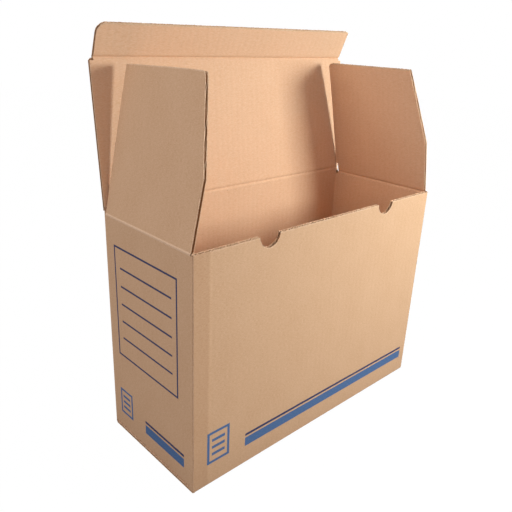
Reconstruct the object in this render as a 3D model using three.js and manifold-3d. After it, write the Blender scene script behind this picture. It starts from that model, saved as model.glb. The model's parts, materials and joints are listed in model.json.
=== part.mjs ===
// Archive storage box of corrugated board, folded from one blank, standing open.
// Units are millimetres and +Z is up. X runs along the box, -X is the end with the label frame.
// -Y is the front panel and +Y the back panel, which carries the lid.
// The origin is on the underside, at the centre of the footprint.

import * as THREE from 'three';
import { mergeVertices } from 'three/addons/utils/BufferGeometryUtils.js';
import Module from 'manifold-3d';

const wasm = await Module();
wasm.setup();
const { Manifold, Mesh: SolidMesh } = wasm;

// Box, outside sizes
const length = 365;
const depth = 150;
const height = 255;

// Board: two liners and a fluted medium between them
const board = 3.6;
const liner = 0.5;
const medium = 0.5;
const flutePitch = 7.8;
const openFluteDepth = 6;

// Folds
const cornerRadius = 3;
const innerCornerRadius = 0.6;
const baseFoldRadius = 2.4;
const foldGap = 0.3;
const layerGap = 0.3;

// Finger notches in the front panel's top edge
const notchSpacing = 184;
const notchWidth = 27;
const notchDepth = 12.5;

// Glue lap, inside the front panel at the label end
const lapWidth = 16.5;
const lapEndSlope = 8;
const lapTopDrop = 9;

// Lid and its tuck flap, which goes inside the front panel when the box is shut
const lidLean = 5;
const lidCornerCut = 4;
const tuckLength = 35.5;
const tuckBend = 27;
const tuckSideClearance = 0.4;
const tuckFrontClearance = 0.4;
const tuckLabelEndRadius = 10;
const tuckPlainEndRadius = 3;

// Dust flaps, hinged on the two ends
const dustFlapLength = 148;
const dustFlapLean = 12;
const dustFlapFrontClearance = 0.5;
const dustFlapRearClearance = 0.9;
const dustFlapTaper = 21;
const dustFlapTaperLength = 85;
const labelFlapDrop = 5;
const labelFlapDropStart = 48;
const dustFlapCornerRadius = 5;
const trimmedCornerRadius = 1.5;

// Bottom flaps, glued and locked
const bottomSeamOffset = 14;
const bottomHookAt = 25;
const bottomHookRun = 30;
const bottomSeamGap = 0.6;
const innerBottomFlapLength = 72;
const innerBottomFlapTaper = 15;
const innerBottomFlapClearance = 1;
const innerBottomFlapRadius = 8;

// How far a cutting solid reaches past what it cuts
const past = 1;

// Straight steps in a rounded corner, and in half a finger notch's circle
const cornerSteps = 6;
const notchSteps = 24;

// Derived sizes
const innerHalfLength = length / 2 - board;
const innerHalfDepth = depth / 2 - board;
const lidAxisHeight = height + board + foldGap;
const lidLength = depth / 2 + innerHalfDepth - tuckFrontClearance;
const tanMitre = Math.tan(THREE.MathUtils.degToRad(45));

// Solids and their booleans

function toSolid(geometry) {
  geometry.deleteAttribute('normal');
  geometry.deleteAttribute('uv');
  const merged = mergeVertices(geometry, 1e-4);
  return new Manifold(new SolidMesh({
    numProp: 3,
    vertProperties: new Float32Array(merged.attributes.position.array),
    triVerts: new Uint32Array(merged.index.array),
  }));
}

function toGeometry(solid) {
  const { numProp, vertProperties, triVerts } = solid.getMesh();
  const geometry = new THREE.BufferGeometry();
  const positions = new Float32Array((vertProperties.length / numProp) * 3);
  for (let i = 0; i < positions.length / 3; i += 1) {
    for (let axis = 0; axis < 3; axis += 1) {
      positions[3 * i + axis] = vertProperties[numProp * i + axis];
    }
  }
  geometry.setAttribute('position', new THREE.BufferAttribute(positions, 3));
  geometry.setIndex(new THREE.BufferAttribute(new Uint32Array(triVerts), 1));
  const flat = geometry.toNonIndexed();
  flat.computeVertexNormals();
  return flat;
}

const join = (solids) => solids.reduce((whole, solid) => whole.add(solid));
const cut = (solid, cutters) => cutters.reduce((rest, cutter) => rest.subtract(cutter), solid);

// An outline drawn in the plane of two axes and drawn out along the third
function extrude(shape, from, to, basis, steps = cornerSteps) {
  const geometry = new THREE.ExtrudeGeometry(shape, {
    depth: to - from,
    bevelEnabled: false,
    curveSegments: steps,
  });
  geometry.translate(0, 0, from);
  geometry.applyMatrix4(basis);
  return toSolid(geometry);
}

const unitX = new THREE.Vector3(1, 0, 0);
const unitY = new THREE.Vector3(0, 1, 0);
const unitZ = new THREE.Vector3(0, 0, 1);
const basisYZ = new THREE.Matrix4().makeBasis(unitY, unitZ, unitX);
const basisXZ = new THREE.Matrix4().makeBasis(unitX, unitZ, unitY.clone().negate());

const alongX = (shapeYZ, from, to) => extrude(shapeYZ, from, to, basisYZ);
const alongY = (shapeXZ, from, to, steps) => extrude(shapeXZ, -to, -from, basisXZ, steps);
const alongZ = (shapeXY, from, to) => extrude(shapeXY, from, to, new THREE.Matrix4());

// A closed outline through corner points [u, v, radius], the radius being left out on sharp ones
function outline(corners) {
  const shape = new THREE.Shape();
  corners.forEach(([u, v, radius = 0], i) => {
    const here = new THREE.Vector2(u, v);
    const before = new THREE.Vector2(...corners.at(i - 1).slice(0, 2)).sub(here).normalize();
    const after = new THREE.Vector2(...corners[(i + 1) % corners.length].slice(0, 2)).sub(here).normalize();
    const halfAngle = before.angleTo(after) / 2;
    const reach = radius / Math.tan(halfAngle);
    const start = here.clone().addScaledVector(before, reach);
    const end = here.clone().addScaledVector(after, reach);
    if (i === 0) shape.moveTo(start.x, start.y);
    else shape.lineTo(start.x, start.y);
    if (radius > 0) shape.quadraticCurveTo(here.x, here.y, end.x, end.y);
  });
  shape.closePath();
  return shape;
}

const rectangle = (halfU, halfV, radius = 0) => outline([
  [-halfU, -halfV, radius], [halfU, -halfV, radius], [halfU, halfV, radius], [-halfU, halfV, radius],
]);

// What is taken off a sharp edge at (u, v) to leave a fold of the given radius.
// inU and inV point from the edge into the board.
function foldRounding(u, v, inU, inV, radius) {
  const shape = new THREE.Shape();
  shape.moveTo(u - past * inU, v - past * inV);
  shape.lineTo(u + radius * inU, v - past * inV);
  shape.lineTo(u + radius * inU, v);
  shape.quadraticCurveTo(u, v, u, v + radius * inV);
  shape.lineTo(u - past * inU, v + radius * inV);
  shape.closePath();
  return shape;
}

// A fold scored from the inside: the board is cut back at 45 degrees on its inner side, and the
// fold turns about the line where its outer faces meet. u is measured from the outer face outwards
// (inwards is -inward), v along the panel; the panel lies on the side of v that keep points to.
function mitre(outerFace, inward, foldLine, keep) {
  const start = foldLine + keep * foldGap / 2;
  const reach = board + past;
  return outline([
    [outerFace - past * inward, start - keep * past * tanMitre],
    [outerFace + reach * inward, start + keep * reach * tanMitre],
    [outerFace + reach * inward, start - keep * reach],
    [outerFace - past * inward, start - keep * reach],
  ]);
}

// Open flutes on a cut edge. Every half pitch one cell opens, its broad side lying on the outer
// liner and on the inner liner by turns. edgeAt gives how far the board reaches at x.
function openFlutes(outerFace, inward, from, to, edgeAt) {
  const halfBroad = 0.4 * flutePitch;
  const halfNarrow = 0.08 * flutePitch;
  const nearFace = outerFace + inward * liner;
  const farFace = outerFace + inward * (board - liner);
  const count = Math.floor((to - from - 2 * halfBroad) / (flutePitch / 2));
  const start = (from + to) / 2 - count * flutePitch / 4;
  const cells = [];
  for (let i = 0; i <= count; i += 1) {
    const x = start + i * flutePitch / 2;
    const [broadFace, narrowFace] = i % 2 === 0
      ? [nearFace, farFace - inward * medium]
      : [farFace, nearFace + inward * medium];
    const section = outline([
      [x - halfBroad, broadFace], [x + halfBroad, broadFace],
      [x + halfNarrow, narrowFace], [x - halfNarrow, narrowFace],
    ]);
    const edges = [x - halfBroad, x, x + halfBroad].map(edgeAt);
    cells.push(alongZ(section, Math.min(...edges) - openFluteDepth, Math.max(...edges) + past));
  }
  return cells;
}

// Body: four walls, the glue lap and the locked bottom, all folded from the one blank

const notchRadius = ((notchWidth / 2) ** 2 + notchDepth ** 2) / (2 * notchDepth);
const notchCentreHeight = height - notchDepth + notchRadius;
const notchPlaces = [-notchSpacing / 2, notchSpacing / 2];

function frontEdgeAt(x) {
  const offset = Math.min(...notchPlaces.map((place) => Math.abs(x - place)));
  if (offset >= notchWidth / 2) return height;
  return notchCentreHeight - Math.sqrt(notchRadius ** 2 - offset ** 2);
}

function walls() {
  const plan = rectangle(length / 2, depth / 2, cornerRadius);
  plan.holes.push(rectangle(innerHalfLength, innerHalfDepth, innerCornerRadius));
  return alongZ(plan, 0, lidAxisHeight);
}

function glueLap() {
  const foot = 2 * board + layerGap + past;
  const top = height - lapTopDrop;
  const corner = -innerHalfLength - board / 2;
  const edge = -innerHalfLength + lapWidth;
  const shape = outline([
    [corner, foot], [edge, foot + lapEndSlope], [edge, top - lapEndSlope], [corner, top],
  ]);
  return alongY(shape, -innerHalfDepth - board / 2, -innerHalfDepth + board);
}

// The front and back panels' bottom flaps hook into each other along a stepped seam
function outerBottomFlaps() {
  const layer = alongZ(rectangle(length / 2 - layerGap, depth / 2 - board / 2), 0, board);
  const half = bottomSeamGap / 2;
  const end = length / 2 + past;
  const seam = outline([
    [-end, bottomSeamOffset - half], [bottomHookAt, bottomSeamOffset - half],
    [bottomHookAt + bottomHookRun, -bottomSeamOffset - half], [end, -bottomSeamOffset - half],
    [end, -bottomSeamOffset + half], [bottomHookAt + bottomHookRun, -bottomSeamOffset + half],
    [bottomHookAt, bottomSeamOffset + half], [-end, bottomSeamOffset + half],
  ]);
  return cut(layer, [alongZ(seam, -past, board + past)]);
}

// The two ends' bottom flaps lie inside, on top of the front and back ones
function innerBottomFlap(side) {
  const root = side * (innerHalfLength + board / 2);
  const tip = side * (innerHalfLength - innerBottomFlapLength);
  const halfRoot = innerHalfDepth - innerBottomFlapClearance;
  const halfTip = halfRoot - innerBottomFlapTaper;
  const shape = outline([
    [root, -halfRoot], [tip, -halfTip, innerBottomFlapRadius],
    [tip, halfTip, innerBottomFlapRadius], [root, halfRoot],
  ]);
  return alongZ(shape, board + layerGap, 2 * board + layerGap);
}

function cartonBody() {
  const ends = [-1, 1];
  const halfLength = length / 2;
  const halfDepth = depth / 2;
  const underEnds = board + layerGap;
  const shell = cut(walls(), [
    // front panel's top edge
    alongX(outline([
      [-halfDepth - past, height], [-innerHalfDepth + past, height],
      [-innerHalfDepth + past, lidAxisHeight + past], [-halfDepth - past, lidAxisHeight + past],
    ]), -halfLength - past, halfLength + past),
    // fold of the lid along the back panel's top
    alongX(mitre(halfDepth, -1, lidAxisHeight, -1), -halfLength - past, halfLength + past),
    // folds of the dust flaps along the ends' tops
    ...ends.map((side) => alongY(
      mitre(side * halfLength, -side, height, -1), -innerHalfDepth, innerHalfDepth,
    )),
    // the ends stop above the front and back panels' bottom flaps
    ...ends.map((side) => alongY(outline([
      [side * (halfLength + past), -past], [side * (innerHalfLength - past), -past],
      [side * (innerHalfLength - past), underEnds], [side * (halfLength + past), underEnds],
    ]), -innerHalfDepth, innerHalfDepth)),
  ]);
  const folded = join([
    shell, glueLap(), outerBottomFlaps(), innerBottomFlap(-1), innerBottomFlap(1),
  ]);
  const notches = notchPlaces.map((place) => {
    const disc = new THREE.Shape().absarc(place, notchCentreHeight, notchRadius, 0, 2 * Math.PI);
    return alongY(disc, -halfDepth - past, -innerHalfDepth + past / 2, notchSteps);
  });
  return cut(folded, [
    ...[-1, 1].map((side) => alongX(
      foldRounding(side * halfDepth, 0, -side, 1, baseFoldRadius), -halfLength - past, halfLength + past,
    )),
    ...ends.map((side) => alongY(
      foldRounding(side * halfLength, underEnds, -side, 1, baseFoldRadius), -innerHalfDepth, innerHalfDepth,
    )),
    ...notches,
    ...openFlutes(-halfDepth, 1, -innerHalfLength, innerHalfLength, frontEdgeAt),
  ]);
}

// Panels are drawn upright with their fold line on the X axis and their outer face at y = 0;
// the board lies behind it, down to y = -board.

function lidPanel() {
  const half = length / 2;
  const shape = outline([
    [-half, 0], [half, 0], [half, lidLength - lidCornerCut],
    [half - lidCornerCut, lidLength], [-half + lidCornerCut, lidLength], [-half, lidLength - lidCornerCut],
  ]);
  return cut(alongY(shape, -board, 0), [
    alongX(mitre(0, -1, 0, 1), -half - past, half + past),
    alongX(mitre(0, -1, lidLength, -1), -half - past, half + past),
  ]);
}

function tuckFlap() {
  const half = innerHalfLength - tuckSideClearance;
  const shape = outline([
    [-half, 0], [half, 0],
    [half, tuckLength, tuckPlainEndRadius], [-half, tuckLength, tuckLabelEndRadius],
  ]);
  const edgeAt = (x) => {
    const radius = x < 0 ? tuckLabelEndRadius : tuckPlainEndRadius;
    const intoCorner = Math.max(0, Math.abs(x) - (half - radius));
    return tuckLength - (radius - Math.sqrt(radius ** 2 - intoCorner ** 2));
  };
  return cut(alongY(shape, -board, 0), [
    alongX(mitre(0, -1, 0, 1), -half - past, half + past),
    ...openFlutes(0, -1, -half, half, edgeAt),
  ]);
}

// A dust flap tapers towards its free end on the front side, so that it clears the lid's tuck flap.
// towardsFront is the sign of x on its front side. The one at the label end also drops a little at
// its front corner, and the other has its rear corner rounded.
function dustFlap(towardsFront, isLabelEnd) {
  const front = innerHalfDepth - dustFlapFrontClearance;
  const rear = -innerHalfDepth + dustFlapRearClearance;
  const tip = front - dustFlapTaper;
  const shoulder = dustFlapLength - dustFlapTaperLength;
  const drop = isLabelEnd ? labelFlapDrop : 0;
  const rearRadius = isLabelEnd ? trimmedCornerRadius : dustFlapCornerRadius;
  const tipRadius = isLabelEnd ? dustFlapCornerRadius : trimmedCornerRadius;
  const corners = [
    [rear, 0], [rear, dustFlapLength, rearRadius],
    [tip, dustFlapLength - drop, tipRadius], [front, shoulder], [front, 0],
  ];
  if (isLabelEnd) corners.splice(2, 0, [tip - labelFlapDropStart, dustFlapLength]);
  const shape = outline(corners.map(([across, up, radius]) => [towardsFront * across, up, radius]));
  const edgeAt = (x) => {
    const across = towardsFront * x;
    if (across > tip) {
      return dustFlapLength - drop - (across - tip) * (dustFlapTaperLength - drop) / dustFlapTaper;
    }
    const dropped = Math.max(0, across - (tip - labelFlapDropStart)) / labelFlapDropStart;
    const intoRear = Math.max(0, rear + rearRadius - across);
    const rearRound = rearRadius - Math.sqrt(Math.max(0, rearRadius ** 2 - intoRear ** 2));
    return dustFlapLength - drop * dropped - rearRound;
  };
  const sides = [towardsFront * rear, towardsFront * front].sort((a, b) => a - b);
  return cut(alongY(shape, -board, 0), [
    alongX(mitre(0, -1, 0, 1), sides[0] - past, sides[1] + past),
    ...openFlutes(0, -1, sides[0], sides[1], edgeAt),
  ]);
}

// Kraft board, a little redder on the lid's inner face

const kraftOutside = new THREE.MeshStandardMaterial({ color: 0xcfa47c, roughness: 0.85, metalness: 0 });
const kraftInside = new THREE.MeshStandardMaterial({ color: 0xe0b58d, roughness: 0.85, metalness: 0 });

function piece(name, solid, material) {
  const mesh = new THREE.Mesh(toGeometry(solid), material.clone());
  mesh.name = name;
  return mesh;
}

// Each flap hangs in a group whose origin lies on its fold line

function hinged(mesh, position, turn, lean) {
  const group = new THREE.Group();
  group.position.set(...position);
  group.rotation.set(THREE.MathUtils.degToRad(lean), 0, turn, 'ZXY');
  group.add(mesh);
  return group;
}

const box = new THREE.Group();
box.add(piece('carton_body', cartonBody(), kraftOutside));

const lid = hinged(piece('lid', lidPanel(), kraftInside), [0, depth / 2, lidAxisHeight], 0, -lidLean);
lid.add(hinged(piece('tuck_flap', tuckFlap(), kraftInside), [0, 0, lidLength], 0, tuckBend));
box.add(lid);

box.add(hinged(
  piece('left_dust_flap', dustFlap(-1, true), kraftOutside),
  [-length / 2, 0, height], Math.PI / 2, dustFlapLean,
));
box.add(hinged(
  piece('right_dust_flap', dustFlap(1, false), kraftOutside),
  [length / 2, 0, height], -Math.PI / 2, dustFlapLean,
));

export default box;
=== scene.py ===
# %% [markdown]
# # An archive box of corrugated board
# The box is folded from one die-cut blank. Its look comes from how the board is made: two paper
# liners glued to a fluted sheet. The flutes show as open cells on every edge cut across them, and
# as faint ribs on the faces. So each panel is made here as three thin paper sheets, and not as a
# slab with a picture of ribs on it.

# %% The frame that everything fits
import json
import math

import bpy
import numpy as np
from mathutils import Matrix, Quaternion, Vector


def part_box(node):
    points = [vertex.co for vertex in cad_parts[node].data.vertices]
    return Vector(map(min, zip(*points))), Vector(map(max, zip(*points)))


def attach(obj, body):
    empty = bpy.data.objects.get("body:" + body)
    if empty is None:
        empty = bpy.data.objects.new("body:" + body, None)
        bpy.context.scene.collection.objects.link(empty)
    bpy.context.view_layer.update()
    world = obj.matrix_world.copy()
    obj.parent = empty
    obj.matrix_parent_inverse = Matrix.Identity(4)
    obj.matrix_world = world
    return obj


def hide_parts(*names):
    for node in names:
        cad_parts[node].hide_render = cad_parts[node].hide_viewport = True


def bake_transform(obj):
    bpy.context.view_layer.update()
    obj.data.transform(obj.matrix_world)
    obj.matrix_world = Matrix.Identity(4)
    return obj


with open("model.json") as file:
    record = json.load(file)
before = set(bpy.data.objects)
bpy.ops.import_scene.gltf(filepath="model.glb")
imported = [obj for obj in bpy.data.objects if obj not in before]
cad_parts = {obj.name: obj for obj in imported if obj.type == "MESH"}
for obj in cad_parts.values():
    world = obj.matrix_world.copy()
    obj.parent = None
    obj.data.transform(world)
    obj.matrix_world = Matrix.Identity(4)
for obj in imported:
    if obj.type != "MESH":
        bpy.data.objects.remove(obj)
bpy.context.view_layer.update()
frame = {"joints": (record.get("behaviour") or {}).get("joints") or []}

MM = 0.001
hinges = {joint["name"]: joint for joint in frame["joints"]}


def hinge_point(name):
    """The point of a hinge on its fold line, in millimetres."""
    return np.array(hinges[name]["pos_m"]) / MM


_, carton_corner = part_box("carton_body")
half_length, half_depth = np.array(carton_corner)[:2] / MM
height = hinge_point("left_dust_hinge")[2]
lid_fold_height = hinge_point("lid_hinge")[2]
print(f"box {2 * half_length:.1f} x {2 * half_depth:.1f} x {height:.1f} mm")

# %% [markdown]
# ## The camera
# The photograph was taken from the left and above, and the camera was tipped a little to one side.
# The camera could be set by eye, but its place was worked out from some twenty corners and edges
# of the box that can be found on the photograph. A look-at turn gives the aim, and a last turn
# about the camera's own axis gives that tip.

# %% Camera
CAMERA_PLACE = Vector((-0.4488, -0.4299, 0.4294))
CAMERA_AIM = Vector((-0.0384, 0.0, 0.1977))
CAMERA_LENS = 39.96
CAMERA_SENSOR = 36
CAMERA_TIP = math.radians(2.43)

camera_data = bpy.data.cameras.new("camera")
camera_data.lens = CAMERA_LENS
camera_data.sensor_width = CAMERA_SENSOR
camera = bpy.data.objects.new("camera", camera_data)
camera.location = CAMERA_PLACE
camera.rotation_mode = "QUATERNION"
aim = (CAMERA_AIM - CAMERA_PLACE).to_track_quat("-Z", "Y")
camera.rotation_quaternion = aim @ Quaternion((0, 0, 1), CAMERA_TIP)
bpy.context.scene.collection.objects.link(camera)
bpy.context.scene.camera = camera
print(f"camera {(CAMERA_AIM - CAMERA_PLACE).length:.2f} m from its aim")

# %% [markdown]
# ## The board
# Sizes of the paper. The pitch of the flutes was counted on the photograph's open edges. The wave
# of the medium fills the room between the liners, so its height isn't set but worked out. Each
# panel's liners stop short of a fold by the reach of the fold's own strips.

# %% Board sizes
BOARD = 3.6
LINER = 0.45
MEDIUM = 0.38
PITCH = 7.8
STEPS_PER_FLUTE = 12
OUTER_RIB = 0.02
INNER_RIB = 0.022
LINER_TEAR = 0.175
FOLD_GAP = 0.15
OUTER_FOLD_REACH = 1.5
INNER_FOLD_REACH = BOARD + FOLD_GAP
OUTER, INNER, FLUTED, CUT = range(4)
random_edge = np.random.default_rng(7)
print(f"board {BOARD} mm thick, with {BOARD - 2 * LINER:.1f} mm between its liners")

# %% [markdown]
# ## Sheets made from columns
# Every panel here is a row of upright columns: its sides are straight, and only its ends have a
# shape. That makes a grid the natural mesh. A line holds the columns' feet, with the direction
# along the line, out of the board and up the panel. A sheet is the skin between two depths.


# %% A line of columns
def line(along, out, up, origin, places):
    """Columns at places along a straight line through origin."""
    places = np.asarray(places, float)
    along, out, up = (np.asarray(axis, float) for axis in (along, out, up))
    count = len(places)
    return {
        "foot": np.asarray(origin, float) + np.outer(places, along),
        "along": np.tile(along, (count, 1)),
        "out": np.tile(out, (count, 1)),
        "up": up,
        "place": places,
        "rib": np.ones(count),
    }


# %% Columns round a corner
CORNER_STEPS = 6


def corner_line(centre, start, end, radius):
    """Columns round a folded upright corner, from one heading to another, in degrees."""
    angles = np.radians(np.linspace(start, end, CORNER_STEPS + 1)[1:-1])
    out = np.stack([np.cos(angles), np.sin(angles), 0 * angles], axis=1)
    turn = 1 if end > start else -1
    along = np.stack([-np.sin(angles), np.cos(angles), 0 * angles], axis=1) * turn
    return {
        "foot": np.array([centre[0], centre[1], 0.0]) + radius * out,
        "along": along,
        "out": out,
        "up": np.array([0.0, 0.0, 1.0]),
        "place": radius * angles,
        "rib": np.zeros(len(angles)),
    }


# %% Joining lines and taking parts of them
def chain(lines):
    """Several lines joined end to end."""
    joined = {
        key: np.concatenate([part[key] for part in lines])
        for key in ("foot", "along", "out", "place", "rib")
    }
    joined["up"] = lines[0]["up"]
    return joined


def columns_within(columns, low, high):
    """The columns of a line whose places lie between two limits."""
    keep = (columns["place"] > low) & (columns["place"] < high)
    return {key: value if key == "up" else value[keep] for key, value in columns.items()}


# %% Places along a line
CLOSEST_COLUMNS = 0.2


def flute_places(start, end, extra=()):
    """Places along a panel, a few to each flute, with the ends and any extra ones exact."""
    low, high = min(start, end), max(start, end)
    step = PITCH / STEPS_PER_FLUTE
    regular = np.arange(math.ceil(low / step), math.floor(high / step) + 1) * step
    fixed = np.array([low, high, *[place for place in extra if low < place < high]])
    keep = [place for place in regular if np.min(np.abs(fixed - place)) > CLOSEST_COLUMNS * step]
    places = np.sort(np.concatenate([fixed, keep]))
    return places if end > start else places[::-1]


print(f"{len(flute_places(-half_length, half_length))} columns along the front")

# %% [markdown]
# ## A thin closed skin
# The mesh collects closed shells: a front grid, a back grid and the rim between them. Rims are
# kept apart as a finish of their own, because a cut edge is paler and rougher than the face.

# %% The mesh that collects shells
SHARP_ANGLE = math.radians(35)
MOST_BOWED = 1.1


class Paper:
    """Thin closed sheets of paper, gathered into one mesh."""

    def __init__(self):
        self.points, self.faces, self.finishes, self.coordinates = [], [], [], []
        self.count = 0

    def shell(self, front, back, coordinates, front_finish, back_finish):
        """A closed shell between two grids of points, row by row."""
        rows, columns = front.shape[:2]
        size = rows * columns
        index = np.arange(size).reshape(rows, columns) + self.count
        a, b = index[:-1, :-1].ravel(), index[:-1, 1:].ravel()
        c, d = index[1:, 1:].ravel(), index[1:, :-1].ravel()
        front_faces = np.stack([a, b, c, d], axis=1)
        back_faces = np.stack([a, d, c, b], axis=1) + size
        border = np.concatenate([index[0, :], index[1:, -1], index[-1, -2::-1], index[-2:0:-1, 0]])
        after = np.roll(border, -1)
        rim = np.stack([after, border, border + size, after + size], axis=1)
        self.points += [front.reshape(-1, 3), back.reshape(-1, 3)]
        self.coordinates += [coordinates.reshape(-1, 3)] * 2
        self.faces += [front_faces, back_faces, rim]
        self.finishes += [
            np.full(len(front_faces), front_finish),
            np.full(len(back_faces), back_finish),
            np.full(len(rim), CUT),
        ]
        self.count += 2 * size

    def bow(self, foot, up, out, amount, length):
        """Curve the sheets inwards, more and more towards the free end."""
        for points in self.points:
            share = np.clip((points - foot) @ up / length, 0, MOST_BOWED)
            points -= np.outer(amount * share ** 2, out)

    def build(self, name, materials):
        """The Blender object, in metres."""
        mesh = bpy.data.meshes.new(name)
        points = np.concatenate(self.points) * MM
        faces = np.concatenate(self.faces)
        coordinates = np.concatenate(self.coordinates).astype(np.float32)
        mesh.from_pydata(points.tolist(), [], faces.tolist())
        for material in materials:
            mesh.materials.append(material)
        mesh.polygons.foreach_set("material_index", np.concatenate(self.finishes).astype(np.int32))
        mesh.polygons.foreach_set("use_smooth", np.ones(len(faces), bool))
        board = mesh.attributes.new("board", "FLOAT_VECTOR", "POINT")
        board.data.foreach_set("vector", coordinates.ravel())
        mesh.update()
        mesh.set_sharp_from_angle(angle=SHARP_ANGLE)
        piece = bpy.data.objects.new(name, mesh)
        bpy.context.scene.collection.objects.link(piece)
        print(f"{name}: {len(faces)} faces")
        return piece


# %% [markdown]
# ## One sheet of the board
# Depth is measured inwards from the board's outer face. The rib makes a liner rise and fall a
# little with the flutes under it. A roll bends the foot of a wall round into the bottom. The mesh
# also keeps each point's place on the flat board, so that the paper's fibres can follow it.


# %% Numbers for each column and each point
def per_column(value, columns):
    """One number for each column, from one number or many."""
    return np.broadcast_to(value, columns["place"].shape).astype(float)


def board_coordinates(columns, grid, layer):
    """Place along the board, height up it, and a number that sets each layer's pattern apart."""
    ups = np.einsum("rci,i->rc", grid, columns["up"])
    return np.stack(np.broadcast_arrays(columns["place"], ups, layer), axis=2)


# %% Liners
SHEET_LEVELS = (0, 0.2, 0.4, 0.6, 0.8, 1)
ROLL_ANGLES = np.radians([0, 22, 45, 68])
RIB_FADE = 4
PATTERN_PER_DEPTH = 40.0
LINER_FINISHES = {OUTER: (OUTER, FLUTED), INNER: (FLUTED, INNER)}


def add_liner(paper, columns, low, high, depth, rib, finish, roll=0.0, bulge=0.0):
    """A liner from depth to depth + LINER below the outer face."""
    low, high = per_column(low, columns), per_column(high, columns)
    lift = rib * columns["rib"] * np.cos(2 * math.pi * columns["place"] / PITCH) + bulge
    skins = []
    for sink in (depth, depth + LINER):
        rows = []
        for angle in ROLL_ANGLES if roll else ():
            inwards = sink + (roll - sink) * (1 - math.sin(angle))
            rise = low + sink + (roll - sink) * (1 - math.cos(angle))
            rows.append(columns["foot"] - columns["out"] * inwards + np.outer(rise, columns["up"]))
        foot = low + roll
        for share in SHEET_LEVELS:
            fade = min(1, RIB_FADE * share) if roll else 1
            outwards = columns["out"] * (lift * fade - sink)[:, None]
            rise = foot + (high - foot) * share
            rows.append(columns["foot"] + outwards + np.outer(rise, columns["up"]))
        skins.append(np.array(rows))
    coordinates = board_coordinates(columns, skins[0], PATTERN_PER_DEPTH * depth)
    paper.shell(*skins, coordinates, *LINER_FINISHES[finish])


# %% [markdown]
# ## The fluted medium
# The medium is a wave of even thickness. Moving its two faces along the wave's normal, and not
# straight in and out, keeps the paper equally thick on the slopes.

# %% Medium
MEDIUM_PATTERN = 90.0


def add_medium(
    paper, columns, low, high, mitre_low=False, mitre_high=False, thick=MEDIUM, finish=FLUTED,
):
    """The wave between the liners. A mitred end is cut back at 45 degrees towards the inner face."""
    low, high = per_column(low, columns), per_column(high, columns)
    places = columns["place"]
    turn = 2 * math.pi / PITCH
    wave = (BOARD - 2 * LINER - thick) / 2
    middle = BOARD / 2 - wave * np.cos(places * turn)
    slope = wave * turn * np.sin(places * turn)
    steep = np.sqrt(1 + slope ** 2)
    going = np.sign(np.diff(places, append=2 * places[-1] - places[-2]))
    skins = []
    for side in (-1, 1):
        sink = middle + side * thick / 2 / steep
        shift = -side * thick / 2 * slope / steep * going
        base = columns["foot"] + columns["along"] * shift[:, None] - columns["out"] * sink[:, None]
        start = low + (sink if mitre_low else 0)
        end = high - (sink if mitre_high else 0)
        rises = [start + (end - start) * share for share in SHEET_LEVELS]
        skins.append(np.array([base + np.outer(rise, columns["up"]) for rise in rises]))
    paper.shell(*skins, board_coordinates(columns, skins[0], MEDIUM_PATTERN), finish, finish)


print(f"the wave swings {BOARD - 2 * LINER - MEDIUM:.2f} mm between the liners")

# %% [markdown]
# ## Crushed edges
# The die that cuts the board doesn't leave a clean edge. It tears the paper into a pale fringe,
# thicker than the sheets are. The fringe makes each open flute show as a dark cell in a pale ring.
# The two liners stand a little proud of the torn wave, and the inner one a little more.

# %% Fringe
FRINGE_HEIGHT = 0.9
FRINGE_THICK = 0.55
FRINGE_LIFT = 0.35
FRINGE_PATTERN = 7.0
WAVE_SUNK = 0.3
OUTER_PROUD = 0.05
INNER_PROUD = 0.1
RIM_TEAR = 0.21
RIM_RAG = 0.12
FRINGE_RIMS = (
    (-OUTER_PROUD, FRINGE_THICK - OUTER_PROUD, 0.0),
    (BOARD - FRINGE_THICK, BOARD + INNER_PROUD, FRINGE_LIFT),
)


def add_fringe(paper, columns, high):
    """A pale torn fringe on the cut end of a board at high."""
    high = per_column(high, columns)
    foot, count = high - FRINGE_HEIGHT, len(high)
    torn_wave = high + random_edge.normal(0, LINER_TEAR, count) - WAVE_SUNK
    add_medium(paper, columns, foot, torn_wave, thick=FRINGE_THICK, finish=CUT)
    for near, far, lift in FRINGE_RIMS:
        ragged = random_edge.normal(0, RIM_RAG, count)
        torn = high + lift + random_edge.normal(0, RIM_TEAR, count)
        skins = []
        for sink, inside_board in ((near, near > 0), (far, far < BOARD)):
            base = columns["foot"] - columns["out"] * (sink + ragged * inside_board)[:, None]
            skins.append(np.array([base + np.outer(rise, columns["up"]) for rise in (foot, torn)]))
        paper.shell(*skins, board_coordinates(columns, skins[0], FRINGE_PATTERN), CUT, CUT)


print(f"the fringe is {FRINGE_THICK / LINER:.1f} times as thick as a liner")

# %% [markdown]
# ## Paper as a material
# Kraft liner isn't one brown. Long fibres lie across the flutes, the stock is mottled like a
# cloud, and darker and paler flecks of recycled fibre lie in it. The coordinates are the board's
# own, in millimetres, so fibres turn with their panel and have one scale on the whole box.


# %% Node helpers
def node(tree, kind, **inputs):
    """A shader node with its inputs set or linked, by name, or as i0, i1 and so on by number."""
    made = tree.nodes.new(kind)
    for name, value in inputs.items():
        by_number = name[0] == "i" and name[1:].isdigit()
        socket = made.inputs[int(name[1:])] if by_number else made.inputs[name]
        if isinstance(value, bpy.types.NodeSocket):
            tree.links.new(value, socket)
        else:
            socket.default_value = value
    return made


def math_node(tree, operation, first, second=0.0, third=0.0):
    """The result of one arithmetic step."""
    made = node(tree, "ShaderNodeMath", i0=first, i1=second, i2=third)
    made.operation = operation
    return made.outputs[0]


# %% Noise, ranges and mixing
def noise(tree, place, stretch, scale, detail=3.0, roughness=0.55):
    """Noise on the board's coordinates, stretched along them."""
    mapped = node(tree, "ShaderNodeMapping", Vector=place, Scale=stretch).outputs[0]
    settings = {"Scale": scale, "Detail": detail, "Roughness": roughness}
    return node(tree, "ShaderNodeTexNoise", Vector=mapped, **settings).outputs["Fac"]


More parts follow.
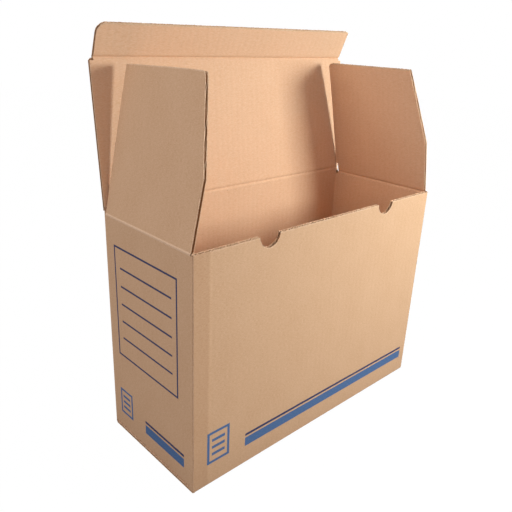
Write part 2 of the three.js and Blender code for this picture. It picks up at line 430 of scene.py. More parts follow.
def remap(tree, value, low, high, to_low=0.0, to_high=1.0):
    """A value moved from one range into another, and kept inside it."""
    made = node(tree, "ShaderNodeMapRange", Value=value)
    made.inputs["From Min"].default_value = low
    made.inputs["From Max"].default_value = high
    made.inputs["To Min"].default_value = to_low
    made.inputs["To Max"].default_value = to_high
    return made.outputs[0]


def mix(tree, factor, first, second):
    """Two colours mixed."""
    made = tree.nodes.new("ShaderNodeMix")
    made.data_type = "RGBA"
    for socket, value in ((0, factor), (6, first), (7, second)):
        if isinstance(value, bpy.types.NodeSocket):
            tree.links.new(value, made.inputs[socket])
        else:
            made.inputs[socket].default_value = value
    return made.outputs[2]


# %% [markdown]
# ## The print
# The print is plain blue line work. A picture could carry it, but a picture blurs close up and
# needs a file. So each bar is a rectangle worked out from the position on the box. A little noise
# on the position gives the ragged edge of ink on rough paper. The thick bars are a lighter blue
# than the thin lines.

# %% Frames and page marks
PAGE_HALF_WIDTH, PAGE_HALF_HEIGHT, PAGE_OUTLINE = 0.38, 0.5, 0.08
RULE_HALF_LENGTH, RULE_HALF_THICK, RULE_STEP = 0.22, 0.045, 0.22


def frame_bars(low_u, high_u, low_v, high_v, thick):
    """The four bars of a rectangular frame."""
    return [
        (low_u, high_u, low_v, low_v + thick), (low_u, high_u, high_v - thick, high_v),
        (low_u, low_u + thick, low_v, high_v), (high_u - thick, high_u, low_v, high_v),
    ]


def page_mark(middle_u, middle_v, size):
    """A plain sheet of paper with lines on it, as a sign for files."""
    half_u, half_v = PAGE_HALF_WIDTH * size, PAGE_HALF_HEIGHT * size
    rule_half, rule_thick = RULE_HALF_LENGTH * size, RULE_HALF_THICK * size
    bars = frame_bars(
        middle_u - half_u, middle_u + half_u, middle_v - half_v, middle_v + half_v, PAGE_OUTLINE * size,
    )
    for step in (-1, 0, 1):
        up = middle_v + step * RULE_STEP * size
        bars.append((middle_u - rule_half, middle_u + rule_half, up - rule_thick, up + rule_thick))
    return bars


# %% Bars of the front and the label end
THICK_STRIPE = (22.9, 33.8)
THIN_STRIPE = (35.9, 38.9)
FRONT_STRIPE_ENDS = (-114.6, 169.8)
END_STRIPE_ENDS = (-59.8, 9.7)
LABEL_FRAME = (-51.4, 57.7, 100.0, 226.5)
LABEL_LINE = 2.1
WRITING_LINES = [123.6, 143.4, 163.3, 183.4, 203.6]
WRITING_ENDS = (-42.3, 47.4)
FRONT_MARK = (-151, 45, 38)
END_MARK = (47, 40, 32)
front_thick = [(*FRONT_STRIPE_ENDS, *THICK_STRIPE)] + page_mark(*FRONT_MARK)
front_thin = [(*FRONT_STRIPE_ENDS, *THIN_STRIPE)]
end_thick = [(*END_STRIPE_ENDS, *THICK_STRIPE)] + page_mark(*END_MARK)
end_thin = [(*END_STRIPE_ENDS, *THIN_STRIPE)] + frame_bars(*LABEL_FRAME, LABEL_LINE)
end_thin += [(*WRITING_ENDS, up - LABEL_LINE / 2, up + LABEL_LINE / 2) for up in WRITING_LINES]
print(f"{len(front_thick + front_thin)} bars on the front, {len(end_thick + end_thin)} on the end")

# %% Ink masks
INK_SOFT = 0.15
INK_RAG = 0.16
PRINTED_DEPTH = 0.8
LAP_EDGE = (13, 15.5)


def ink_mask(tree, u, v, bars):
    """1 inside any of the bars, with an edge about 0.3 mm soft."""
    masks = []
    for low_u, high_u, low_v, high_v in bars:
        parts = []
        for value, low, high in ((u, low_u, high_u), (v, low_v, high_v)):
            off = math_node(tree, "ABSOLUTE", math_node(tree, "SUBTRACT", value, (low + high) / 2))
            half = (high - low) / 2
            parts.append(remap(tree, off, half + INK_SOFT, half - INK_SOFT))
        masks.append(math_node(tree, "MULTIPLY", *parts))
    total = masks[0]
    for mask in masks[1:]:
        total = math_node(tree, "MAXIMUM", total, mask)
    return total


def print_masks(tree, place):
    """The thick bars and the thin lines of the print, and a painted shade on the front over the glue
    lap.
    """
    position = node(tree, "ShaderNodeTexCoord").outputs["Object"]
    parts = node(tree, "ShaderNodeSeparateXYZ", Vector=position).outputs
    ragged = remap(tree, noise(tree, place, (1, 1, 1), 1.6), 0.3, 0.7, -INK_RAG, INK_RAG)
    x, y, z = (math_node(tree, "MULTIPLY_ADD", part, 1 / MM, ragged) for part in parts)
    on_front = math_node(tree, "LESS_THAN", parts[1], (-half_depth + PRINTED_DEPTH) * MM)
    on_end = math_node(tree, "LESS_THAN", parts[0], (-half_length + PRINTED_DEPTH) * MM)
    masks = []
    for front_bars, end_bars in ((front_thick, end_thick), (front_thin, end_thin)):
        front = math_node(tree, "MULTIPLY", on_front, ink_mask(tree, x, z, front_bars))
        end = math_node(tree, "MULTIPLY", on_end, ink_mask(tree, y, z, end_bars))
        masks.append(math_node(tree, "MAXIMUM", front, end))
    # Painted shade: the front is darker where the glue lap lies behind it.
    lap_start = -half_length + BOARD
    lap = remap(tree, x, lap_start + LAP_EDGE[0], lap_start + LAP_EDGE[1], 1.0, 0.0)
    return (*masks, math_node(tree, "MULTIPLY", on_front, lap))


# %% [markdown]
# ## Kraft paper
# One recipe makes all the papers, from three tones each. A scanned picture would repeat over so
# large a box, so the paper is made of noise. Noises of four sizes lay the cloud, the speckle, the
# fibres and the flecks over each other. A painted shade lies in the troughs of the flutes' ribs,
# and a slow noise stretched along the flutes makes it come and go. Gloss is low and uneven, as on
# a matt paper.


# %% Colours of ink and paper
def srgb(code):
    """A colour given as six hexadecimal digits, in Blender's linear values."""
    parts = [int(code[i:i + 2], 16) / 255 for i in (0, 2, 4)]
    return tuple(((c + 0.055) / 1.055) ** 2.4 if c > 0.04 else c / 12.92 for c in parts) + (1.0,)


INK_BLUE = srgb("436B9A")
INK_DARK = srgb("2B3A62")
# Colour of the painted shade over the glue lap.
PAINTED_LAP_SHADE = srgb("8C5226")
# Colour of the painted shade in the troughs of the flutes' ribs.
FLUTE_PAINTED_SHADE = (0.05, 0.03, 0.015, 1)
print("ink blue in linear values:", [round(part, 3) for part in INK_BLUE[:3]])

# %% Kraft paper
PAINTED_LAP_STRENGTH = 0.15
PAPER_SPECULAR = 0.22
FIBRE_RELIEF = 0.00008


def kraft(name, middle, dark, pale, rib_painted_shade=0.05, grain=0.25, printed=False):
    """Brown paper with fibres, mottling, flecks, and painted shade in the troughs of the flutes."""
    material = bpy.data.materials.new(name)
    material.use_nodes = True
    tree = material.node_tree
    shader = tree.nodes["Principled BSDF"]
    board = node(tree, "ShaderNodeAttribute")
    board.attribute_name = "board"
    place = board.outputs["Vector"]
    cloud = remap(tree, noise(tree, place, (1, 0.8, 1), 0.03, 2.0), 0.3, 0.7, 0.1, 0.45)
    speckle = remap(tree, noise(tree, place, (0.8, 1, 1), 0.35, 4.0, 0.7), 0.3, 0.7, -0.1, 0.6)
    fibre = noise(tree, place, (0.35, 1.6, 1), 1.1, 6.0, 0.65)
    fleck = remap(tree, noise(tree, place, (0.5, 1, 1), 2.3, 2.0), 0.64, 0.72, 0.0, 0.5)
    colour = mix(tree, math_node(tree, "ADD", cloud, speckle), middle, dark)
    colour = mix(tree, remap(tree, fibre, 0.4, 0.68, 0.0, 0.8), colour, pale)
    colour = mix(tree, fleck, colour, dark)
    # Painted shade in the troughs of the flutes' ribs, coming and going along them.
    along = node(tree, "ShaderNodeSeparateXYZ", Vector=place).outputs[0]
    rib = math_node(tree, "COSINE", math_node(tree, "MULTIPLY", along, 2 * math.pi / PITCH))
    drift = remap(tree, noise(tree, place, (1, 0.1, 1), 0.3), 0.3, 0.7, 0.4, 1.0)
    painted_rib_shade = math_node(tree, "MULTIPLY", remap(tree, rib, -1, 0.2, rib_painted_shade, 0.0), drift)
    colour = mix(tree, painted_rib_shade, colour, FLUTE_PAINTED_SHADE)
    if printed:
        worn = remap(tree, noise(tree, place, (0.4, 1, 1), 0.9, 5.0), 0.25, 0.5, 0.82, 0.97)
        stripes, thin_lines, lap = print_masks(tree, place)
        # The painted shade over the glue lap.
        colour = mix(tree, math_node(tree, "MULTIPLY", lap, PAINTED_LAP_STRENGTH), colour, PAINTED_LAP_SHADE)
        colour = mix(tree, math_node(tree, "MULTIPLY", stripes, worn), colour, INK_BLUE)
        colour = mix(tree, math_node(tree, "MULTIPLY", thin_lines, worn), colour, INK_DARK)
    tree.links.new(colour, shader.inputs["Base Color"])
    tree.links.new(remap(tree, fibre, 0.3, 0.7, 0.78, 0.95), shader.inputs["Roughness"])
    shader.inputs["Specular IOR Level"].default_value = PAPER_SPECULAR
    bump = node(tree, "ShaderNodeBump", Height=fibre, Strength=grain, Distance=FIBRE_RELIEF)
    tree.links.new(bump.outputs[0], shader.inputs["Normal"])
    return material


# %% The papers of the box
OUTSIDE_TONES = (srgb("D3AA85"), srgb("C69A73"), srgb("DDB998"))
INSIDE_TONES = (srgb("E5B995"), srgb("DBAC85"), srgb("EBC7A6"))
MEDIUM_TONES = (srgb("B78A62"), srgb("A0744E"), srgb("CBA17B"))
CUT_TONES = (srgb("DFBB98"), srgb("CA9F79"), srgb("ECD0B2"))
# The crease paper is paler than the outer liner: a painted highlight on the ridge of each outer fold.
CREASE_HIGHLIGHT_TONES = (srgb("E2BD9B"), srgb("D8B08B"), srgb("EBCBAD"))
outer_liner = kraft("kraft_outer_liner", *OUTSIDE_TONES, rib_painted_shade=0.008)
printed_liner = kraft("kraft_printed_liner", *OUTSIDE_TONES, rib_painted_shade=0.008, printed=True)
inner_liner = kraft("kraft_inner_liner", *INSIDE_TONES, rib_painted_shade=0.02)
medium_paper = kraft("fluting_medium", *MEDIUM_TONES, rib_painted_shade=0.0)
cut_paper = kraft("cut_edge", *CUT_TONES, rib_painted_shade=0.0, grain=0.6)
crease_highlight_liner = kraft("crease_highlight_liner", *CREASE_HIGHLIGHT_TONES, rib_painted_shade=0.0, grain=0.5)
plain_papers = [outer_liner, inner_liner, medium_paper, cut_paper]
crease_highlight_papers = [crease_highlight_liner, inner_liner, medium_paper, cut_paper]
printed_papers = [printed_liner, inner_liner, medium_paper, cut_paper]
print("papers:", ", ".join(material.name for material in bpy.data.materials))

# %% [markdown]
# ## The walls
# One strip of board runs round the box: front, plain end, back, label end, and last the glue lap,
# which tucks in behind the front panel. The front panel's cut side shows at the glued corner. A
# bevelled box would be quicker, but the rim of a real corner shows two papers with a gap between
# them. So the outer and the inner liner go round the same corners at different radii.

# %% Wall sizes
FOLD_RADIUS = 3.0
INNER_RADIUS = 0.6
GLUED_EDGE = 0.3
BASE_ROLL = 2.4
END_BASE = 3.9
INNER_END_BASE = 2 * BOARD + 0.3
LAP_WIDTH = 16.5
LAP_SHORT = 9
LAP_TAPER = 8
LAP_GLUE = 0.1
LAP_CORNER_GAP = 1
NOTCH_PLACES = (-92.0, 92.0)
NOTCH_WIDTH = 27.0
NOTCH_DEPTH = 12.5
NOTCH_STEPS = 33
FLAP_SLIT = 71.2
inner_half_length = half_length - BOARD
inner_half_depth = half_depth - BOARD
notch_radius = ((NOTCH_WIDTH / 2) ** 2 + NOTCH_DEPTH ** 2) / (2 * NOTCH_DEPTH)
notch_centre = height - NOTCH_DEPTH + notch_radius
print(f"notches are arcs of {notch_radius:.1f} mm radius")

# %% Finger notches
SHARP_STEP = 0.02


def front_edge(x):
    """Height of the front panel's cut edge, with its two finger notches."""
    off = np.min(np.abs(np.subtract.outer(x, NOTCH_PLACES)), axis=1)
    inside = np.clip(notch_radius ** 2 - off ** 2, 0, None)
    return np.where(off < NOTCH_WIDTH / 2, notch_centre - np.sqrt(inside), height)


def notch_columns():
    """Close columns where a notch's sides are steep."""
    swing = np.cos(np.linspace(0, math.pi, NOTCH_STEPS)) * NOTCH_WIDTH / 2
    reaches = (*swing, swing[0] + SHARP_STEP, swing[-1] - SHARP_STEP)
    return [place + reach for place in NOTCH_PLACES for reach in reaches]


print(f"the front is {front_edge(np.array(NOTCH_PLACES)).min():.1f} mm high under a notch")

# %% Wall lines
UP = (0, 0, 1)
FRONT_RUN, PLAIN_END_RUN, BACK_RUN, LABEL_END_RUN, LAP_RUN = 0, 2, 4, 6, 8
FREE_CORNER, LAP_CORNER = 1, 7
slit_reaches = (FLAP_SLIT - SHARP_STEP, FLAP_SLIT + SHARP_STEP)
slit_columns = [side * reach for side in (-1, 1) for reach in slit_reaches]
glued_side = -half_length + GLUED_EDGE
lap_face = -inner_half_depth + LAP_GLUE


def wall_lines(x_side, y_side, lap_y, radius):
    """The five straight runs of one liner with the folded corners between them."""
    x_end, y_end, lap_end = x_side - radius, y_side - radius, lap_y + radius
    front = flute_places(glued_side, x_end, notch_columns())
    plain_end = flute_places(-y_end, y_end, slit_columns)
    back = flute_places(x_end, -x_end)
    label_end = flute_places(y_end, lap_end, slit_columns)
    lap = flute_places(-x_end, -inner_half_length + LAP_WIDTH)
    return [
        line((1, 0, 0), (0, -1, 0), UP, (0, -y_side, 0), front),
        corner_line((x_end, -y_end), -90, 0, radius),
        line((0, 1, 0), (1, 0, 0), UP, (x_side, 0, 0), plain_end),
        corner_line((x_end, y_end), 0, 90, radius),
        line((1, 0, 0), (0, 1, 0), UP, (0, y_side, 0), back),
        corner_line((-x_end, y_end), 90, 180, radius),
        line((0, 1, 0), (-1, 0, 0), UP, (-x_side, 0, 0), label_end),
        corner_line((-x_end, lap_end), 180, 270, radius),
        line((1, 0, 0), (0, -1, 0), UP, (0, lap_y, 0), lap),
    ]


# %% [markdown]
# The walls end at different heights. The ends and the back stop below their folds, and the front
# has its cut edge. The corners stay clear of the folded-in dust flaps. The lap is cut back and
# tapered so that it doesn't show.


# %% Wall heights
def wall_heights(lines, below_fold, foot, end_foot):
    """How low and how high each column of the walls reaches."""
    lows, highs = [], []
    end_top, back_top = height - below_fold, lid_fold_height - below_fold
    free_corner_top = height if below_fold < INNER_FOLD_REACH else end_top
    for number, part in enumerate(lines):
        places, ones = part["place"], np.ones(len(part["place"]))
        low, high = foot * ones, back_top * ones
        if number == FRONT_RUN:
            high = front_edge(places)
        elif number == FREE_CORNER:
            high = free_corner_top * ones
        elif number in (PLAIN_END_RUN, LABEL_END_RUN):
            at_flap = np.abs(places) < FLAP_SLIT
            low = np.where(at_flap, end_foot, foot)
            high = np.where(at_flap, end_top, np.where(places < 0, height, back_top))
        elif number == LAP_CORNER:
            high = (height - BOARD - LAP_CORNER_GAP) * ones
        elif number == LAP_RUN:
            taper = LAP_TAPER * (places - places[0]) / LAP_WIDTH
            low, high = LAP_SHORT + taper, height - LAP_SHORT - taper
        lows.append(low)
        highs.append(high)
    return np.concatenate(lows), np.concatenate(highs)


# %% [markdown]
# The lap is glued behind the front panel and shows through it as a faint flat ridge, so the front
# liner is lifted there by a fraction of a millimetre.

# %% Liners of the walls
LAP_RIDGE = 0.16
RIDGE_SOFT = 0.6
walls = Paper()
outer_lines = wall_lines(half_length, half_depth, lap_face, FOLD_RADIUS)
outer_wall = chain(outer_lines)
outer_low, outer_high = wall_heights(outer_lines, OUTER_FOLD_REACH, 0.0, END_BASE)
outer_high += random_edge.normal(0, LINER_TEAR, len(outer_high))
front_run = outer_lines[FRONT_RUN]
ridge_edge = -inner_half_length + LAP_WIDTH
ridge = np.zeros(len(outer_high))
past_lap = (front_run["place"] - ridge_edge) / RIDGE_SOFT
ridge[:len(past_lap)] = LAP_RIDGE / (1 + np.exp(past_lap))
add_liner(walls, outer_wall, outer_low, outer_high, 0.0, OUTER_RIB, OUTER, roll=BASE_ROLL, bulge=ridge)

inner_lines = wall_lines(inner_half_length, inner_half_depth, lap_face + BOARD, INNER_RADIUS)
inner_wall = chain(inner_lines)
inner_low, inner_high = wall_heights(inner_lines, INNER_FOLD_REACH, BOARD, INNER_END_BASE)
inner_high += random_edge.normal(0, LINER_TEAR, len(inner_high))
inner_wall["foot"] = inner_wall["foot"] + inner_wall["out"] * BOARD
add_liner(walls, inner_wall, inner_low, inner_high, BOARD - LINER, -INNER_RIB, INNER)
print(f"{len(outer_high)} columns go round the outside, {len(inner_high)} round the inside")

# %% [markdown]
# The medium runs only along the straight walls, because a folded corner crushes it flat. The label
# end's outer liner bridges the glued corner as a narrow skin of its own.

# %% Medium of the walls
SKIN_SIDE = 0.55
SKIN_END = -66.5
SKIN_FOOT = 0.2
SKIN_BELOW_TOP = 1.2
SKIN_COLUMNS = 9
front_part = columns_within(front_run, -half_length, inner_half_length)
add_medium(walls, front_part, END_BASE, front_edge(front_part["place"]))
for number, reach, top in (
    (PLAIN_END_RUN, inner_half_depth, height),
    (BACK_RUN, inner_half_length, lid_fold_height),
    (LABEL_END_RUN, inner_half_depth, height),
):
    add_medium(walls, columns_within(outer_lines[number], -reach, reach), END_BASE, top, mitre_high=True)
lap_part = columns_within(outer_lines[LAP_RUN], -inner_half_length, inner_half_length)
add_medium(walls, lap_part, LAP_SHORT, height - 2 * LAP_SHORT)
add_fringe(walls, front_run, front_edge(front_run["place"]))

skin_places = np.linspace(-half_depth + SKIN_SIDE, SKIN_END, SKIN_COLUMNS)
corner_skin = line((0, 1, 0), (-1, 0, 0), UP, (-half_length, 0, 0), skin_places)
add_liner(walls, corner_skin, SKIN_FOOT, height - SKIN_BELOW_TOP, 0.0, 0.0, OUTER, roll=BASE_ROLL)
carton_walls = walls.build("carton_walls", printed_papers)
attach(carton_walls, "carton")
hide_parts("carton_body")

# %% [markdown]
# ## The bottom
# Two large flaps from the long panels hook into each other along a stepped seam. Two smaller flaps
# from the ends lie on top of them, inside the box. A plain slab would do from above, but these are
# made of the same sheets as the walls, so the box can be turned over and looked at from below.


# %% Flat panels
def add_board(paper, columns, low, high, low_fold=None, high_fold=None):
    """Liner, medium and liner of a flat panel. A fold at an end keeps the sheets clear of its strip."""
    low, high = per_column(low, columns), per_column(high, columns)
    outer_tear, inner_tear = (random_edge.normal(0, LINER_TEAR, len(high)) for _ in range(2))
    for finish, depth, rib, tear, fold_reach in (
        (OUTER, 0.0, OUTER_RIB, outer_tear, OUTER_FOLD_REACH),
        (INNER, BOARD - LINER, -INNER_RIB, inner_tear, INNER_FOLD_REACH),
    ):
        start = low if low_fold is None else np.maximum(low, low_fold + fold_reach)
        end = high + tear
        if high_fold is not None:
            end = np.minimum(end, high_fold - fold_reach)
        add_liner(paper, columns, start, end, depth, rib, finish)
    start = low if low_fold is None else low + FOLD_GAP
    end = high if high_fold is None else np.minimum(high, high_fold) - FOLD_GAP
    add_medium(paper, columns, start, end, low_fold is not None, high_fold is not None)


# %% Bottom flaps
SEAM = 14.0
HOOK_START, HOOK_END = 25.0, 55.0
SEAM_GAP = 0.6
INNER_FLAP_LENGTH = 72.0
INNER_FLAP_TAPER = 15.0
INNER_FLAP_SIDE = 1
INNER_FLAP_LEAST = 0.02
BOTTOM_SIDE = 0.3

bottom = Paper()
bottom_half = half_length - BOTTOM_SIDE
bottom_places = flute_places(-bottom_half, bottom_half, (HOOK_START, HOOK_END))
seam_places = np.interp(bottom_places, [HOOK_START, HOOK_END], [SEAM, -SEAM])
for side in (1, -1):
    columns = line((1, 0, 0), (0, 0, -1), (0, side, 0), (0, 0, 0), bottom_places)
    add_board(bottom, columns, -half_depth + BASE_ROLL, side * seam_places - SEAM_GAP / 2)
half_root = inner_half_depth - INNER_FLAP_SIDE
taper_start = half_root - INNER_FLAP_TAPER
inner_flap_places = flute_places(-half_root, half_root, (-taper_start, taper_start))
taper = np.clip((half_root - np.abs(inner_flap_places)) / INNER_FLAP_TAPER, INNER_FLAP_LEAST, 1)
for side in (1, -1):
    columns = line((0, 1, 0), (0, 0, -1), (side, 0, 0), (0, 0, END_BASE), inner_flap_places)
    flap_end = -inner_half_length + INNER_FLAP_LENGTH * taper
    add_board(bottom, columns, -half_length + BASE_ROLL, flap_end)
bottom_flaps = bottom.build("bottom_flaps", plain_papers)
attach(bottom_flaps, "carton")

# %% [markdown]
# ## Flaps
# A flap stands on its hinge line. Leaning turns the directions out of and up the board about that
# line, so the same columns serve a flap at any angle. The lid is a flap of the back panel, and the
# tuck flap is a flap of the lid.

# %% Hinge frames
LID_LEAN = -5.0
TUCK_BEND = 27.0
DUST_LEAN = 12.0


def leaning(out, up, degrees):
    """Directions out of and up a panel that leans inwards by an angle."""
    angle = math.radians(degrees)
    out, up = np.asarray(out, float), np.asarray(up, float)
    return math.cos(angle) * out + math.sin(angle) * up, math.cos(angle) * up - math.sin(angle) * out


lid_out, lid_up = leaning((0, 1, 0), UP, LID_LEAN)
tuck_out, tuck_up = leaning(lid_out, lid_up, TUCK_BEND)
lid_foot, tuck_foot = hinge_point("lid_hinge"), hinge_point("tuck_hinge")
lid_length = float(np.linalg.norm(tuck_foot - lid_foot))
print(f"lid {lid_length:.1f} mm from fold to fold")

# %% Lid
LID_CORNER_CUT = 4.0
cut_start = half_length - LID_CORNER_CUT
lid_places = flute_places(-half_length, half_length, (-cut_start, cut_start))
lid_line = line((1, 0, 0), lid_out, lid_up, lid_foot, lid_places)
lid_top = lid_length - np.clip(np.abs(lid_places) - cut_start, 0, None)
lid_paper = Paper()
add_board(lid_paper, lid_line, 0.0, lid_top, low_fold=0.0, high_fold=lid_length)
lid_board = lid_paper.build("lid_board", plain_papers)
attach(lid_board, "lid")
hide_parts("lid")

# %% [markdown]
# The tuck flap is a little narrower than the lid, so that it can slide in behind the front panel.
# Its leading corners are rounded, and its cut edge runs slightly aslant.

# %% Tuck flap
TUCK_LENGTH = 35.5
TUCK_RADII = (10.0, 3.0)
TUCK_SIDE = 0.4
TUCK_LONG, TUCK_SLANT = 0.3, 3.0
ROUNDING_STEPS = 9
tuck_half = inner_half_length - TUCK_SIDE


def rounded_drop(distance, radius):
    """How far a rounded corner falls below the edge, at a distance from the side."""
    into = np.clip(radius - distance, 0, radius)
    return radius - np.sqrt(radius ** 2 - into ** 2)


def rounding_columns(radius):
    """Distances from the side at which a rounded corner needs its columns."""
    return radius * (1 - np.cos(np.linspace(0, math.pi / 2, ROUNDING_STEPS)))


left_rounding, right_rounding = (rounding_columns(radius) for radius in TUCK_RADII)
tuck_extra = (*(left_rounding - tuck_half), *(tuck_half - right_rounding))
tuck_places = flute_places(-tuck_half, tuck_half, tuck_extra)
tuck_line = line((1, 0, 0), tuck_out, tuck_up, tuck_foot, tuck_places)
tuck_slant = TUCK_LONG - TUCK_SLANT * (tuck_half - tuck_places) / (2 * tuck_half)
tuck_top = TUCK_LENGTH + tuck_slant
tuck_top -= rounded_drop(tuck_places + tuck_half, TUCK_RADII[0])
tuck_top -= rounded_drop(tuck_half - tuck_places, TUCK_RADII[1])
tuck_paper = Paper()
add_board(tuck_paper, tuck_line, 0.0, tuck_top, low_fold=0.0)
add_fringe(tuck_paper, tuck_line, tuck_top)
tuck_board = tuck_paper.build("tuck_board", plain_papers)
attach(tuck_board, "tuck_flap")
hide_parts("tuck_flap")

# %% [markdown]
# The dust flaps have one blank shape: a straight rear side, and a front side cut away towards the
# tip. On the box the two have worn differently. The left one's free end slants and its tip is
# rounded. The right one is bowed inwards, and cut free at its rear root by a short relief slot.

# %% Dust flap sizes
DUST_LENGTH = 148.0
DUST_FRONT = -inner_half_depth + 0.5
DUST_REAR = inner_half_depth - 0.9
DUST_TAPER = 21.0
DUST_TAPER_LENGTH = 85.0
TIP_STEP, TIP_STEPS = 0.3, 8
WIDEST_REAR_ROUND = 5
RELIEF_HEIGHT = 12.0
RELIEF_WIDTHS = {"left_dust": 0.0, "right_dust": 3.6}
dust_tip = DUST_FRONT + DUST_TAPER
relief_side = DUST_REAR - RELIEF_WIDTHS["right_dust"]
dust_extra = [
    relief_side - SHARP_STEP, relief_side + SHARP_STEP, dust_tip,
    *(dust_tip + TIP_STEP * np.arange(-TIP_STEPS, TIP_STEPS + 1)),
    *(DUST_REAR - rounding_columns(WIDEST_REAR_ROUND)),
]
dust_places = flute_places(DUST_FRONT, DUST_REAR, dust_extra)
print(f"dust flaps {DUST_REAR - DUST_FRONT:.1f} mm wide")

# %% Dust flap outline
TIP_FALL_POWER = 1.8


def soft_lower(first, second, width):
    """The lower of two heights, rounded over where they cross."""
    share = np.clip(0.5 + (second - first) / (2 * width), 0, 1)
    return second * (1 - share) + first * share - width * share * (1 - share)


def dust_top(places, drop, drop_start, tip_round, rear_round):
    """The free end of a dust flap: tapered in front, and dropping towards its front corner."""
    slant = DUST_LENGTH - drop + (places - dust_tip) * (DUST_TAPER_LENGTH - drop) / DUST_TAPER
    fall = np.clip((dust_tip + drop_start - places) / drop_start, 0, 1) ** TIP_FALL_POWER
    end = DUST_LENGTH - drop * fall
    return soft_lower(slant, end, tip_round) - rounded_drop(DUST_REAR - places, rear_round)


# %% Dust flaps
LEFT_LONG, LEFT_SLANT, LEFT_BOW = 1.5, 2.5, 0.5
RIGHT_BOW = 4.5


def make_dust_flap(name, node_name, side, top, bow):
    """A dust flap, hinged on the end at side, and bowed inwards at its tip."""
    foot = hinge_point(f"{name}_hinge")
    out, up = leaning((side, 0, 0), UP, DUST_LEAN)
    columns = line((0, 1, 0), out, up, foot, dust_places)
    root = np.where(dust_places > DUST_REAR - RELIEF_WIDTHS[name], RELIEF_HEIGHT, 0.0)
    paper = Paper()
    add_board(paper, columns, root, top, low_fold=0.0)
    add_fringe(paper, columns, top)
    paper.bow(foot, up, out, bow, DUST_LENGTH)
    piece = paper.build(f"{name}_board", plain_papers)
    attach(piece, node_name)
    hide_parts(node_name)


left_top = dust_top(dust_places, drop=0.8, drop_start=38.0, tip_round=8.0, rear_round=1.0)
left_top += LEFT_LONG - LEFT_SLANT * (dust_places - dust_tip) / (DUST_REAR - dust_tip)
right_top = dust_top(
    dust_places, drop=0.0, drop_start=1.0, tip_round=2.0, rear_round=WIDEST_REAR_ROUND,
)
make_dust_flap("left_dust", "left_dust_flap", -1, left_top, LEFT_BOW)
make_dust_flap("right_dust", "right_dust_flap", 1, right_top, RIGHT_BOW)

# %% [markdown]
# ## Folds
# At a fold the outer liner rises in a low crease, and the inner liner is crushed outwards into a
# shallow trough. Whole panels could be bent with bones, but board stays flat beside its fold. So
# each liner gets a narrow strip of its own that spans the fold between both panels. The strip is
# drawn straight and then turned by degrees, from one panel's angle to the other's.

# %% Fold strips
FOLD_ROWS = 13
FOLD_COLUMNS_PER_FLUTE = 4
CREASE_WIDTH = 0.38
WRINKLES = ((0.18, 0.31, 1), (0.14, 0.83, 0), (0.1, 1.7, 0))
# The outer strip takes the paler crease paper, a painted highlight on its ridge.
FOLD_LAYERS = (
    ("outer", OUTER_FOLD_REACH, 0.0, 0.22, OUTER, crease_highlight_papers),
    ("inner", INNER_FOLD_REACH, BOARD - LINER, 0.9, INNER, plain_papers),
)


def make_fold(name, foot, out, up, along, lean, half_width):
    """The two strips of liner across a fold, from the fixed body to the moving one."""
    out, up, along = (np.asarray(axis, float) for axis in (out, up, along))
    count = int(2 * half_width * FOLD_COLUMNS_PER_FLUTE / PITCH)
    places = np.linspace(-half_width, half_width, count + 1)
    uneven = 1 + sum(size * np.sin(places * rate + start) for size, rate, start in WRINKLES)
    for layer, reach, depth, push, finish, papers in FOLD_LAYERS:
        heights = np.linspace(-reach, reach, FOLD_ROWS)
        share = (heights + reach) / (2 * reach)
        turns = np.radians(lean) * share * share * (3 - 2 * share)
        crease = push * np.exp(-(heights / (CREASE_WIDTH * reach)) ** 2)
        crease[[0, -1]] = 0.0
        skins = []
        for sink in (depth, depth + LINER):
            rows = []
            for rise, turn, pushed in zip(heights, turns, crease):
                off = pushed * uneven - sink
                across = np.outer(off * math.cos(turn) - rise * math.sin(turn), out)
                upward = np.outer(rise * math.cos(turn) + off * math.sin(turn), up)
                rows.append(foot + across + upward + np.outer(places, along))
            skins.append(np.array(rows))
        layer_pattern = PATTERN_PER_DEPTH * depth
        coordinates = np.stack(np.broadcast_arrays(places, heights[:, None], layer_pattern), axis=2)
        paper = Paper()
        paper.shell(*skins, coordinates, *LINER_FINISHES[finish])
        piece = paper.build(f"{name}_{layer}_fold", papers)
        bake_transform(piece)


# %% The four folds
LID_FOLD_SIDE = 0.1
for name, side in (("left_dust", -1), ("right_dust", 1)):
    rear = DUST_REAR - RELIEF_WIDTHS[name]
    middle = np.array([0, (DUST_FRONT + rear) / 2, 0])
    foot = hinge_point(f"{name}_hinge") + middle
    make_fold(name, foot, (side, 0, 0), UP, (0, 1, 0), DUST_LEAN, (rear - DUST_FRONT) / 2)
lid_fold_half = half_length - LID_FOLD_SIDE
make_fold("lid", lid_foot, (0, 1, 0), UP, (1, 0, 0), LID_LEAN, lid_fold_half)
make_fold("tuck", tuck_foot, lid_out, lid_up, (1, 0, 0), TUCK_BEND, tuck_half)

# %% [markdown]
# ## Light and floor
# A small lamp stands close by, in front, to the right and above. It makes the firm shadows of the
# dust flaps on the lid, and the front's fall of brightness from right to left. A wide lamp on the
# left lights the label end, and one above and one far in front open the shadows. A picture of a
# studio could light the box too, but plain lamps can be moved and measured one at a time. The room
# and the floor are white to the camera, and the floor keeps a faint shadow.

# %% World
ROOM_LIGHT = 0.42
ROOM_TINT = (1, 0.9, 0.93, 1)
WHITE = (1, 1, 1, 1)
world = bpy.data.worlds.new("white_room")
world.use_nodes = True
bpy.context.scene.world = world
sky = world.node_tree
background = sky.nodes["Background"]
seen = sky.nodes.new("ShaderNodeLightPath").outputs["Is Camera Ray"]
sky.links.new(math_node(sky, "MAXIMUM", seen, ROOM_LIGHT), background.inputs["Strength"])
sky.links.new(mix(sky, seen, ROOM_TINT, WHITE), background.inputs["Color"])
print(f"the room lights the box at {ROOM_LIGHT}")


# %% Lamps
def lamp(name, place, target, size, power, tint):
    """A square soft lamp that looks at a point."""
    data = bpy.data.lights.new(name, "AREA")
    data.size = size
    data.energy = power
    data.color = tint
    made = bpy.data.objects.new(name, data)
    made.location = place
    made.rotation_euler = (Vector(target) - Vector(place)).to_track_quat("-Z", "Y").to_euler()
    bpy.context.scene.collection.objects.link(made)
    print(f"{name}: {power} W")


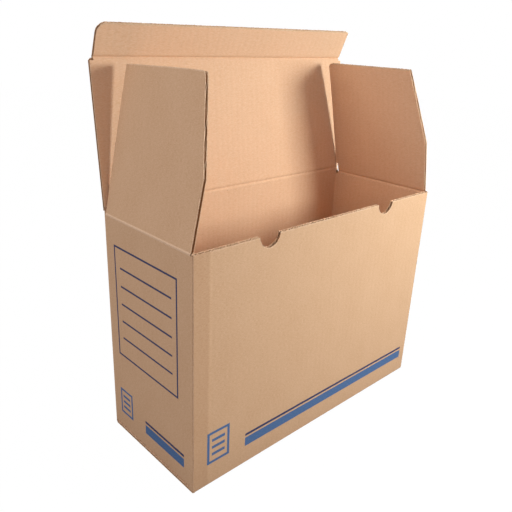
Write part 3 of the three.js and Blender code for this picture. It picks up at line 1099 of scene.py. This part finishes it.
lamp("key", (0.37, -0.585, 0.47), (0.0, 0.0, 0.25), 0.2, 5.1, (0.93, 1.0, 1.0))
lamp("window", (-1.6, 0.3, 1.3), (0.0, 0.0, 0.2), 1.2, 15.2, (0.89, 0.95, 1.0))
lamp("ceiling", (0.1, 0.0, 1.8), (0.0, 0.0, 0.2), 1.0, 4.2, (0.93, 1.0, 0.86))
lamp("fill", (-0.5, -1.8, 0.5), (0.0, 0.0, 0.2), 1.0, 1.4, (1.0, 0.9, 0.94))

# %% Floor
FLOOR_HALF = 4.0
FLOOR_DROP = 0.0002
FLOOR_GREY = (0.25, 0.25, 0.25, 1)
FLOOR_ROUGHNESS = 0.9
FLOOR_GLOW = 0.97
GLOW_STRENGTH = 1.025
corner_sides = ((-1, -1), (1, -1), (1, 1), (-1, 1))
corners = [(x * FLOOR_HALF, y * FLOOR_HALF, -FLOOR_DROP) for x, y in corner_sides]
floor_data = bpy.data.meshes.new("floor")
floor_data.from_pydata(corners, [], [(0, 1, 2, 3)])
floor = bpy.data.objects.new("floor", floor_data)
bpy.context.scene.collection.objects.link(floor)
floor_material = bpy.data.materials.new("floor_white")
floor_material.use_nodes = True
floor_tree = floor_material.node_tree
floor_shader = floor_tree.nodes["Principled BSDF"]
floor_shader.inputs["Base Color"].default_value = FLOOR_GREY
floor_shader.inputs["Roughness"].default_value = FLOOR_ROUGHNESS
glow = node(floor_tree, "ShaderNodeEmission", Strength=GLOW_STRENGTH)
floor_seen = floor_tree.nodes.new("ShaderNodeLightPath").outputs["Is Camera Ray"]
glow_share = math_node(floor_tree, "MULTIPLY", floor_seen, FLOOR_GLOW)
floor_mix = node(floor_tree, "ShaderNodeMixShader", i0=glow_share)
floor_tree.links.new(floor_shader.outputs[0], floor_mix.inputs[1])
floor_tree.links.new(glow.outputs[0], floor_mix.inputs[2])
floor_tree.links.new(floor_mix.outputs[0], floor_tree.nodes["Material Output"].inputs["Surface"])
floor_data.materials.append(floor_material)
print(f"floor {2 * FLOOR_HALF:.0f} m wide")

bpy.context.scene.view_settings.view_transform = "Standard"
